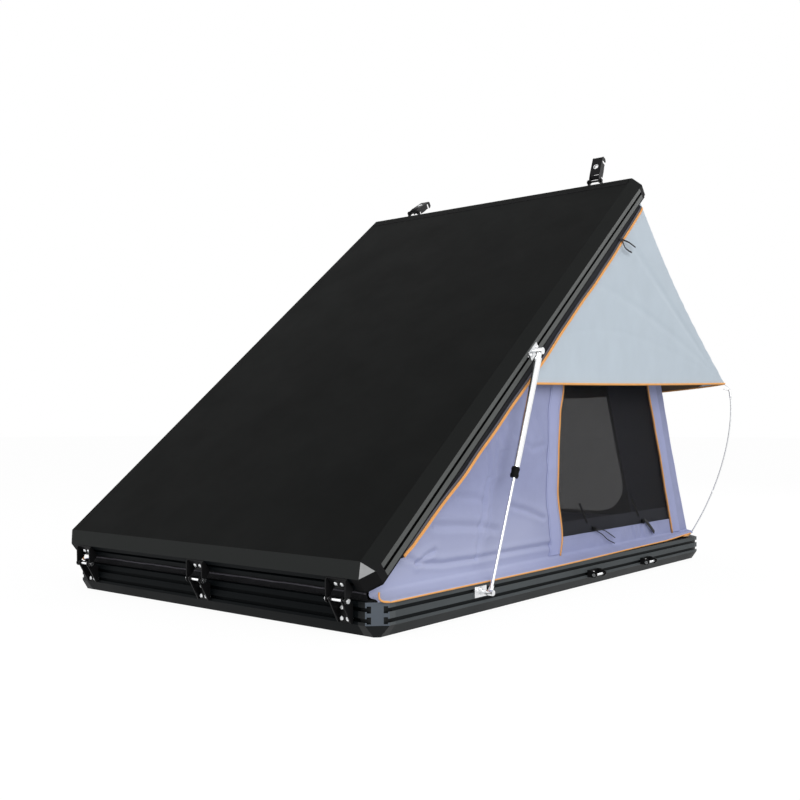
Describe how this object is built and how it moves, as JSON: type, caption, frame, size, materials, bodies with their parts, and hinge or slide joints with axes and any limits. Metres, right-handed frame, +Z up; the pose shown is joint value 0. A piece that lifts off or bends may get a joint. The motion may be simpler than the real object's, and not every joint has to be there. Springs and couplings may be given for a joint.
{
  "type": "roof top tent",
  "caption": "Hard-shell roof top tent standing open as a wedge, with gas struts, hook latches, canvas walls, netted windows and an awning on spring rods.",
  "frame": {"origin": "centre of the base's footprint, on its underside", "axes": "+X to the ladder side, +Y from the hinge end to the tall end, +Z up"},
  "size_m": [1.5564, 2.2104, 1.6217],
  "materials": {
    "rail_dark": "dark powder-coated extrusion",
    "rail_grey": "grey powder-coated extrusion",
    "casting": "grey cast corner",
    "floor": "mill-finish hollow plank",
    "channel": "mill-finish channel",
    "mattress": "quilted mattress cover",
    "black_steel": "black powder coat",
    "bright_steel": "bright plated steel",
    "bolt": "plated bolts",
    "lid_skin": "matte black sheet",
    "corner_plate": "bare corner plates",
    "lid_cap": "black moulded caps",
    "liner": "padded roof liner",
    "seal": "soft black seal",
    "collar": "black collar",
    "canvas": "lavender-grey canvas",
    "mesh": "dark insect net",
    "awning": "pale blue-grey awning cloth",
    "rod": "spring-steel rods",
    "socket": "black socket blocks"
  },
  "bodies": {
    "base": {"base_floor_panel": "floor", "base_rail_front": "rail_dark", "base_rail_rear": "rail_dark", "base_rail_left": "rail_grey", "base_rail_right": "rail_grey", "base_corner_castings": "casting", "mounting_channel_left": "channel", "mounting_channel_right": "channel", "mattress": "mattress", "hinge_base_brackets": "black_steel", "hinge_pins": "bolt", "hinge_base_bolts": "bolt", "strut_base_bracket_left": "bright_steel", "strut_base_bracket_right": "bright_steel", "strut_base_bolts": "bolt", "latch_keepers": "black_steel", "keeper_pins": "bolt", "keeper_bolts": "bolt", "ladder_brackets": "black_steel", "ladder_pins": "bright_steel", "ladder_bolts": "bolt", "wall_right": "canvas", "wall_left": "canvas", "wall_rear": "canvas", "wall_front": "canvas", "mesh_right": "mesh", "mesh_left": "mesh", "mesh_rear": "mesh", "rod_sockets": "socket", "spring_rod_left": "rod", "spring_rod_right": "rod"},
    "lid": {"lid_skin": "lid_skin", "lid_corner_plates": "corner_plate", "lid_rail_front": "rail_dark", "lid_rail_rear": "rail_dark", "lid_rail_left": "rail_grey", "lid_rail_right": "rail_grey", "lid_corner_caps": "lid_cap", "lid_liner": "liner", "lid_seal": "seal", "hinge_lid_brackets": "black_steel", "hinge_lid_bolts": "bolt", "strut_lid_bracket_left": "bright_steel", "strut_lid_bracket_right": "bright_steel", "strut_lid_bolts": "bolt", "latch_brackets": "black_steel", "latch_pins": "bolt", "latch_bracket_bolts": "bolt", "awning": "awning"},
    "strut_rod_left": {"strut_rod_left": "bright_steel"},
    "strut_tube_left": {"strut_tube_left": "bright_steel", "strut_collar_left": "collar"},
    "latch_left": {"latch_lever_left": "black_steel"},
    "strut_rod_right": {"strut_rod_right": "bright_steel"},
    "strut_tube_right": {"strut_tube_right": "bright_steel", "strut_collar_right": "collar"},
    "latch_right": {"latch_lever_right": "black_steel"}
  },
  "joints": [
    {"name": "lid_hinge", "type": "hinge", "parent": "base", "child": "lid", "pos_m": [0, -1.085, 0.097], "axis": [1, 0, 0], "range_deg": [-39.4, 0], "stiffness_Nm_per_rad": 174, "springref_deg": 98.55, "deforming": ["wall_right", "wall_left", "wall_rear", "wall_front", "mesh_right", "mesh_left", "mesh_rear", "awning", "spring_rod_left", "spring_rod_right"]},
    {"name": "strut_swing_left", "type": "hinge", "parent": "base", "child": "strut_rod_left", "pos_m": [-0.694, -0.575, 0.064], "axis": [1, 0, 0], "range_deg": [-62.3, 0]},
    {"name": "strut_slide_left", "type": "slide", "parent": "strut_rod_left", "child": "strut_tube_left", "axis": [0, 0.3675, 0.93], "range_m": [-0.2317, 0]},
    {"name": "strut_swing_right", "type": "hinge", "parent": "base", "child": "strut_rod_right", "pos_m": [0.694, -0.575, 0.064], "axis": [1, 0, 0], "range_deg": [-62.3, 0]},
    {"name": "strut_slide_right", "type": "slide", "parent": "strut_rod_right", "child": "strut_tube_right", "axis": [0, 0.3675, 0.93], "range_m": [-0.2317, 0]},
    {"name": "latch_turn_left", "type": "hinge", "parent": "lid", "child": "latch_left", "pos_m": [-0.455, 0.53863, 1.51866], "axis": [1, 0, 0], "range_deg": [-81, 99]},
    {"name": "latch_turn_right", "type": "hinge", "parent": "lid", "child": "latch_right", "pos_m": [0.455, 0.53863, 1.51866], "axis": [1, 0, 0], "range_deg": [-119, 61]}
  ],
  "couplings": [
    {"joint": "strut_swing_left", "follows": "lid_hinge", "ratio": 1.5784},
    {"joint": "strut_slide_left", "follows": "lid_hinge", "m_per_rad": 0.33563},
    {"joint": "strut_swing_right", "follows": "lid_hinge", "ratio": 1.5784},
    {"joint": "strut_slide_right", "follows": "lid_hinge", "m_per_rad": 0.33563}
  ]
}
